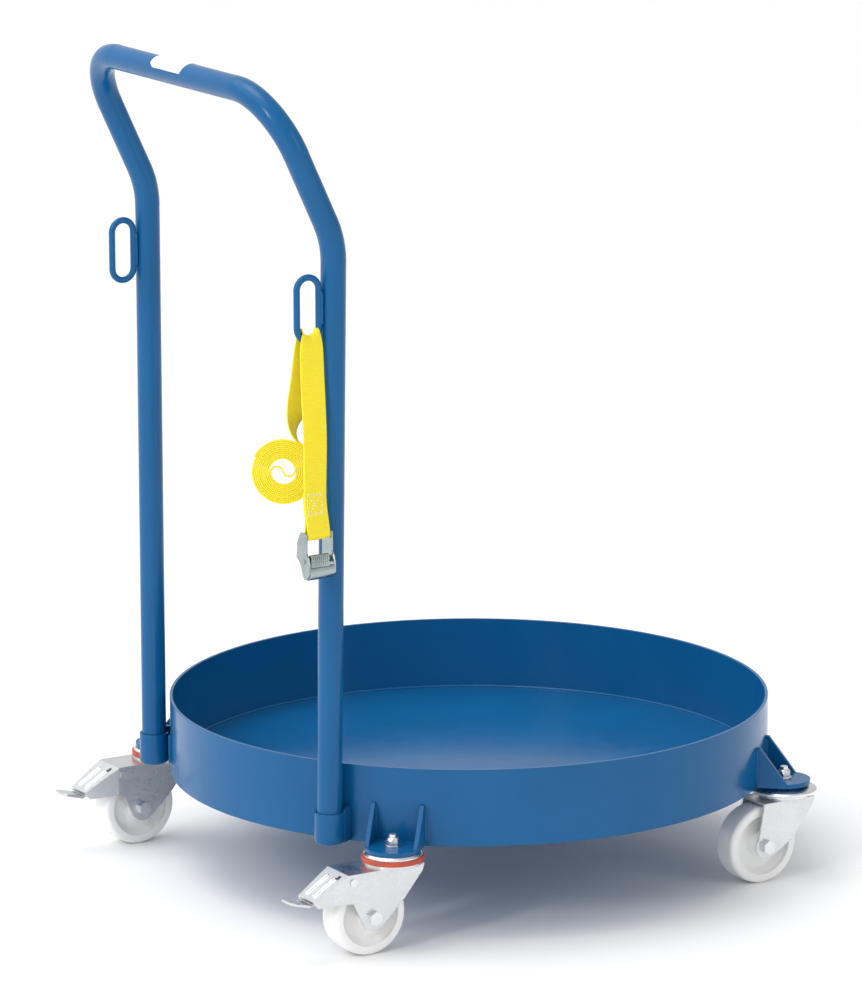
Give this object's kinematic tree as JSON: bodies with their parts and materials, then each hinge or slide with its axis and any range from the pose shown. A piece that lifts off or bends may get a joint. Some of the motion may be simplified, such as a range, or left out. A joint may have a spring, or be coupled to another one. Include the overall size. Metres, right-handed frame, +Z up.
{
  "type": "drum dolly",
  "caption": "Round steel tray on swivel casters, with a plug-in bent tube handle at the back and a webbing strap with a cam buckle.",
  "frame": {"origin": "on the floor, under the middle of the whole object's bounding box", "axes": "+Z up, +Y towards the handle, +X to the left of a person who stands behind the handle and faces the drum"},
  "size_m": [0.616, 0.6634, 0.8598],
  "materials": {
    "blue_paint": "gloss enamel",
    "zinc": "bright zinc plate",
    "nylon": "turned white nylon",
    "seal": "moulded",
    "webbing": "woven",
    "blank_white": "blank film"
  },
  "bodies": {
    "frame": {"tray_floor": "blue_paint", "tray_rim": "blue_paint", "tray_weld": "blue_paint", "bracket_rear_left": "blue_paint", "bracket_rear_right": "blue_paint", "bracket_front_right": "blue_paint", "bracket_front_left": "blue_paint", "socket_left": "blue_paint", "socket_right": "blue_paint", "socket_webs": "blue_paint", "mounting_bolts": "zinc", "lock_nuts": "zinc", "plate_washers": "zinc", "swivel_heads_braked": "zinc", "swivel_heads_plain": "zinc", "bearing_cups": "zinc", "bearing_balls": "zinc"},
    "handle": {"handle_tube": "blue_paint", "strap_loops": "blue_paint", "loop_welds": "blue_paint", "name_plate": "blank_white"},
    "strap": {"strap_front_fall": "webbing", "strap_rear_fall": "webbing", "strap_roll": "webbing"},
    "buckle": {"buckle_frame": "zinc", "cam_pin": "zinc", "cam_spring": "zinc"},
    "cam": {"cam_lever": "zinc"},
    "swivel_rear_left": {"fork_rear_left": "zinc", "axle_bolt_rear_left": "zinc", "axle_nut_rear_left": "zinc", "axle_sleeve_rear_left": "zinc", "head_ring_rear_left": "seal", "brake_rivet_rear_left": "zinc", "brake_spring_rear_left": "zinc"},
    "wheel_rear_left": {"wheel_rear_left": "nylon"},
    "brake_rear_left": {"brake_lever_rear_left": "zinc"},
    "swivel_rear_right": {"fork_rear_right": "zinc", "axle_bolt_rear_right": "zinc", "axle_nut_rear_right": "zinc", "axle_sleeve_rear_right": "zinc", "head_ring_rear_right": "seal", "brake_rivet_rear_right": "zinc", "brake_spring_rear_right": "zinc"},
    "wheel_rear_right": {"wheel_rear_right": "nylon"},
    "brake_rear_right": {"brake_lever_rear_right": "zinc"},
    "swivel_front_right": {"fork_front_right": "zinc", "axle_bolt_front_right": "zinc", "axle_nut_front_right": "zinc", "axle_sleeve_front_right": "zinc", "head_ring_front_right": "zinc"},
    "wheel_front_right": {"wheel_front_right": "nylon"},
    "swivel_front_left": {"fork_front_left": "zinc", "axle_bolt_front_left": "zinc", "axle_nut_front_left": "zinc", "axle_sleeve_front_left": "zinc", "head_ring_front_left": "zinc"},
    "wheel_front_left": {"wheel_front_left": "nylon"}
  },
  "joints": [
    {"name": "handle_lift", "type": "slide", "parent": "frame", "child": "handle", "axis": [0, 0, 1], "range_m": [0, 0.05]},
    {"name": "strap_swing", "type": "hinge", "parent": "handle", "child": "strap", "pos_m": [-0.185, 0.27303, 0.60725], "axis": [0, 1, 0], "range_deg": [-15, 1]},
    {"name": "buckle_swing", "type": "hinge", "parent": "strap", "child": "buckle", "pos_m": [-0.205, 0.27583, 0.41875], "axis": [0, 1, 0], "range_deg": [-10, 25]},
    {"name": "cam_press", "type": "hinge", "parent": "buckle", "child": "cam", "pos_m": [-0.204, 0.27583, 0.39375], "axis": [0, 1, 0], "range_deg": [0, 30], "stiffness_Nm_per_rad": 0.05, "springref_deg": -20.05},
    {"name": "swivel_rear_left", "type": "hinge", "parent": "frame", "child": "swivel_rear_left", "pos_m": [0.23335, 0.20967, 0.087], "axis": [0, 0, 1], "continuous": true},
    {"name": "roll_rear_left", "type": "hinge", "parent": "swivel_rear_left", "child": "wheel_rear_left", "pos_m": [0.23335, 0.24367, 0.04], "axis": [1, 0, 0], "continuous": true},
    {"name": "brake_rear_left", "type": "hinge", "parent": "swivel_rear_left", "child": "brake_rear_left", "pos_m": [0.23335, 0.26667, 0.079], "axis": [-1, 0, 0], "range_deg": [0, 8]},
    {"name": "swivel_rear_right", "type": "hinge", "parent": "frame", "child": "swivel_rear_right", "pos_m": [-0.23335, 0.20967, 0.087], "axis": [0, 0, 1], "continuous": true},
    {"name": "roll_rear_right", "type": "hinge", "parent": "swivel_rear_right", "child": "wheel_rear_right", "pos_m": [-0.23335, 0.24367, 0.04], "axis": [1, 0, 0], "continuous": true},
    {"name": "brake_rear_right", "type": "hinge", "parent": "swivel_rear_right", "child": "brake_rear_right", "pos_m": [-0.23335, 0.26667, 0.079], "axis": [-1, 0, 0], "range_deg": [0, 8]},
    {"name": "swivel_front_right", "type": "hinge", "parent": "frame", "child": "swivel_front_right", "pos_m": [-0.23335, -0.25702, 0.087], "axis": [0, 0, 1], "continuous": true},
    {"name": "roll_front_right", "type": "hinge", "parent": "swivel_front_right", "child": "wheel_front_right", "pos_m": [-0.23335, -0.22302, 0.04], "axis": [1, 0, 0], "continuous": true},
    {"name": "swivel_front_left", "type": "hinge", "parent": "frame", "child": "swivel_front_left", "pos_m": [0.23335, -0.25702, 0.087], "axis": [0, 0, 1], "continuous": true},
    {"name": "roll_front_left", "type": "hinge", "parent": "swivel_front_left", "child": "wheel_front_left", "pos_m": [0.23335, -0.22302, 0.04], "axis": [1, 0, 0], "continuous": true}
  ]
}
